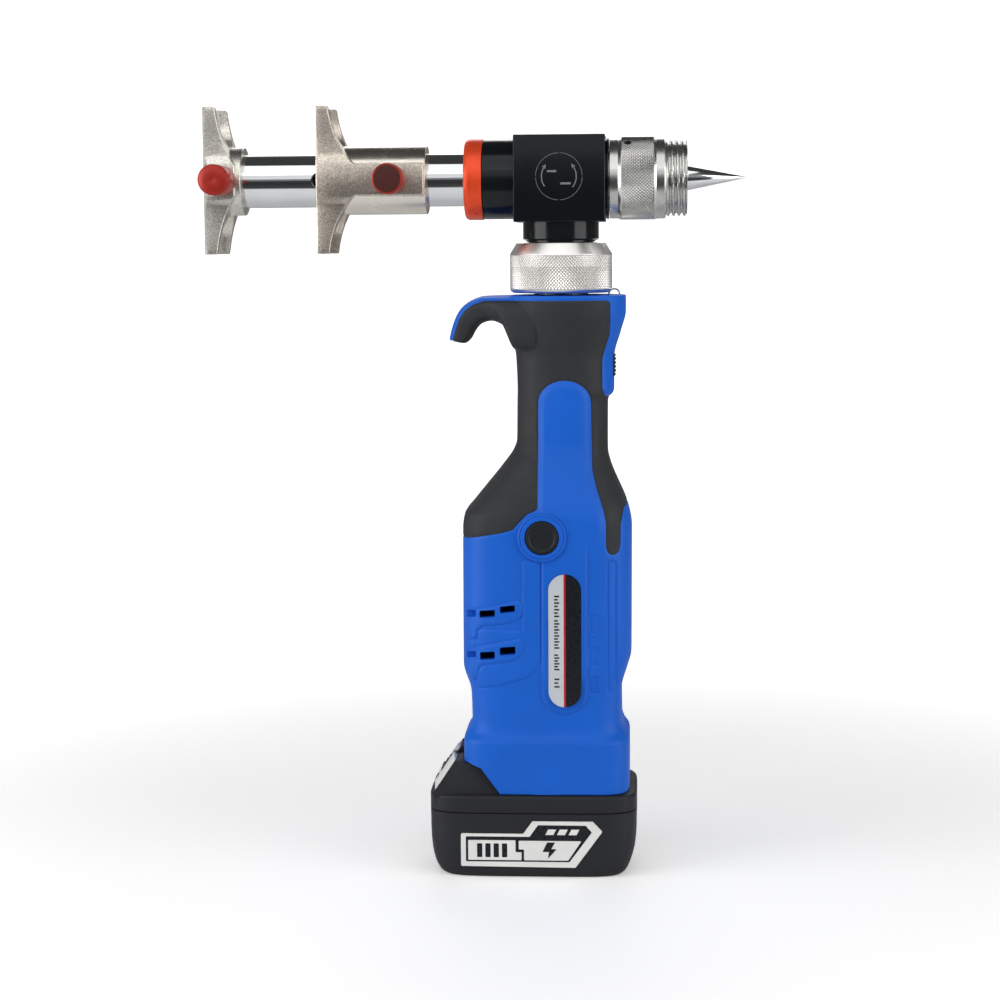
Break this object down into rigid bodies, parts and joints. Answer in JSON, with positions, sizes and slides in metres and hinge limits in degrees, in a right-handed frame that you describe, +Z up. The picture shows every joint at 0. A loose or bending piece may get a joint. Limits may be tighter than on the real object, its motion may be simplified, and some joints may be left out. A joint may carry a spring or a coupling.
{
  "type": "cordless hydraulic sleeve press and pipe expander",
  "caption": "Stick-shaped battery hydraulic pipe tool: a turning T-head with forked sleeve-press jaws on a guide tube at one end and a threaded pipe expander with a cone at the other.",
  "frame": {"origin": "on the battery's flat underside, on the axis that the head turns about", "axes": "+Z up along the handle, +X towards the expander cone, +Y away from the labelled side"},
  "size_m": [0.2961, 0.0835, 0.424],
  "materials": {
    "blue_plastic": "fine satin moulded",
    "soft_grip": "matt soft overmould",
    "black_plastic": "satin moulded",
    "case_black": "satin moulded",
    "black_anodised": "black anodised, satin gloss",
    "orange_anodised": "orange anodised",
    "red_anodised": "red anodised, turned",
    "cast_nickel": "nickel plated sand casting",
    "chrome": "hard chrome, polished",
    "turned_alloy": "turned and knurled, bright",
    "dark_steel": "machined",
    "spring_steel": "drawn wire",
    "seal_rubber": "oiled",
    "board_green": "soldered board",
    "cell_wrap": "wrapped cells",
    "brass": "machined",
    "bladder_rubber": "matt",
    "label_silver": "printed film",
    "label_white": "printed film"
  },
  "bodies": {
    "handle": {"shell_front": "blue_plastic", "shell_rear": "blue_plastic", "grip_front": "soft_grip", "grip_rear": "soft_grip", "side_label": "label_silver", "lanyard_eye": "spring_steel", "neck_insert": "dark_steel", "oil_bladder": "bladder_rubber", "pump_block": "dark_steel", "gearbox_case": "dark_steel", "motor_can": "dark_steel", "control_board": "board_green", "terminal_block": "black_plastic", "trigger_switch": "black_plastic", "release_valve": "brass", "trigger_spring": "spring_steel", "release_spring": "spring_steel", "case_screw_1": "dark_steel", "case_screw_2": "dark_steel", "case_screw_3": "dark_steel", "case_screw_4": "dark_steel", "case_screw_5": "dark_steel", "case_screw_6": "dark_steel"},
    "head": {"head_block": "black_anodised", "collar_nut": "orange_anodised", "guide_tube": "chrome", "tube_end_plug": "dark_steel", "end_jaw": "cast_nickel", "expander_adapter": "turned_alloy", "adapter_set_screw": "dark_steel"},
    "neck_ring": {"swivel_ring": "turned_alloy"},
    "press_slider": {"sliding_jaw": "cast_nickel", "push_rod": "chrome", "press_piston": "dark_steel", "press_seal": "seal_rubber", "press_return_spring": "spring_steel"},
    "slider_pin": {"sliding_jaw_pin": "red_anodised"},
    "end_pin": {"end_jaw_pin": "red_anodised"},
    "expander_slider": {"expander_mandrel": "chrome", "expander_piston": "dark_steel", "expander_seal": "seal_rubber", "expander_return_spring": "spring_steel"},
    "trigger_button": {"trigger": "black_plastic"},
    "release_knob": {"release_button": "black_plastic"},
    "motor_rotor_body": {"motor_rotor": "brass"},
    "pump_shaft": {"eccentric_shaft": "dark_steel"},
    "battery": {"battery_lower_case": "case_black", "battery_upper_case": "case_black", "battery_label": "label_white", "cell_pack": "cell_wrap", "charge_board": "board_green", "latch_spring": "spring_steel"},
    "latch": {"battery_latch": "black_plastic"}
  },
  "joints": [
    {"name": "head_swivel", "type": "hinge", "parent": "handle", "child": "head", "pos_m": [0, 0, 0.336], "axis": [0, 0, 1], "continuous": true},
    {"name": "ring_turn", "type": "hinge", "parent": "handle", "child": "neck_ring", "pos_m": [0, 0, 0.323], "axis": [0, 0, 1], "continuous": true},
    {"name": "press_slide", "type": "slide", "parent": "head", "child": "press_slider", "axis": [-1, 0, 0], "range_m": [0, 0.04], "stiffness_N_per_m": 600, "springref_m": -0.01, "deforming": ["press_return_spring"]},
    {"name": "slider_pin_pull", "type": "slide", "parent": "press_slider", "child": "slider_pin", "axis": [0, -1, 0], "range_m": [0, 0.045]},
    {"name": "end_pin_pull", "type": "slide", "parent": "head", "child": "end_pin", "axis": [0, -1, 0], "range_m": [0, 0.045]},
    {"name": "expander_slide", "type": "slide", "parent": "head", "child": "expander_slider", "axis": [1, 0, 0], "range_m": [0, 0.012], "stiffness_N_per_m": 1500, "springref_m": -0.006, "deforming": ["expander_return_spring"]},
    {"name": "trigger_press", "type": "slide", "parent": "handle", "child": "trigger_button", "axis": [-1, 0, 0], "range_m": [0, 0.0025], "stiffness_N_per_m": 800, "springref_m": -0.002, "deforming": ["trigger_spring"]},
    {"name": "release_press", "type": "slide", "parent": "handle", "child": "release_knob", "axis": [0, 1, 0], "range_m": [0, 0.003], "stiffness_N_per_m": 800, "springref_m": -0.002, "deforming": ["release_spring"]},
    {"name": "motor_spin", "type": "hinge", "parent": "handle", "child": "motor_rotor_body", "pos_m": [-0.0085, 0, 0.11], "axis": [0, 0, 1], "continuous": true},
    {"name": "pump_spin", "type": "hinge", "parent": "handle", "child": "pump_shaft", "pos_m": [-0.0085, 0, 0.17], "axis": [0, 0, 1], "continuous": true},
    {"name": "battery_slide", "type": "slide", "parent": "handle", "child": "battery", "axis": [-1, 0, 0], "range_m": [0, 0.1]},
    {"name": "latch_press", "type": "slide", "parent": "battery", "child": "latch", "axis": [0, 0, -1], "range_m": [0, 0.004], "stiffness_N_per_m": 800, "springref_m": -0.002, "deforming": ["latch_spring"]}
  ],
  "couplings": [
    {"joint": "pump_spin", "follows": "motor_spin", "ratio": 0.25}
  ]
}
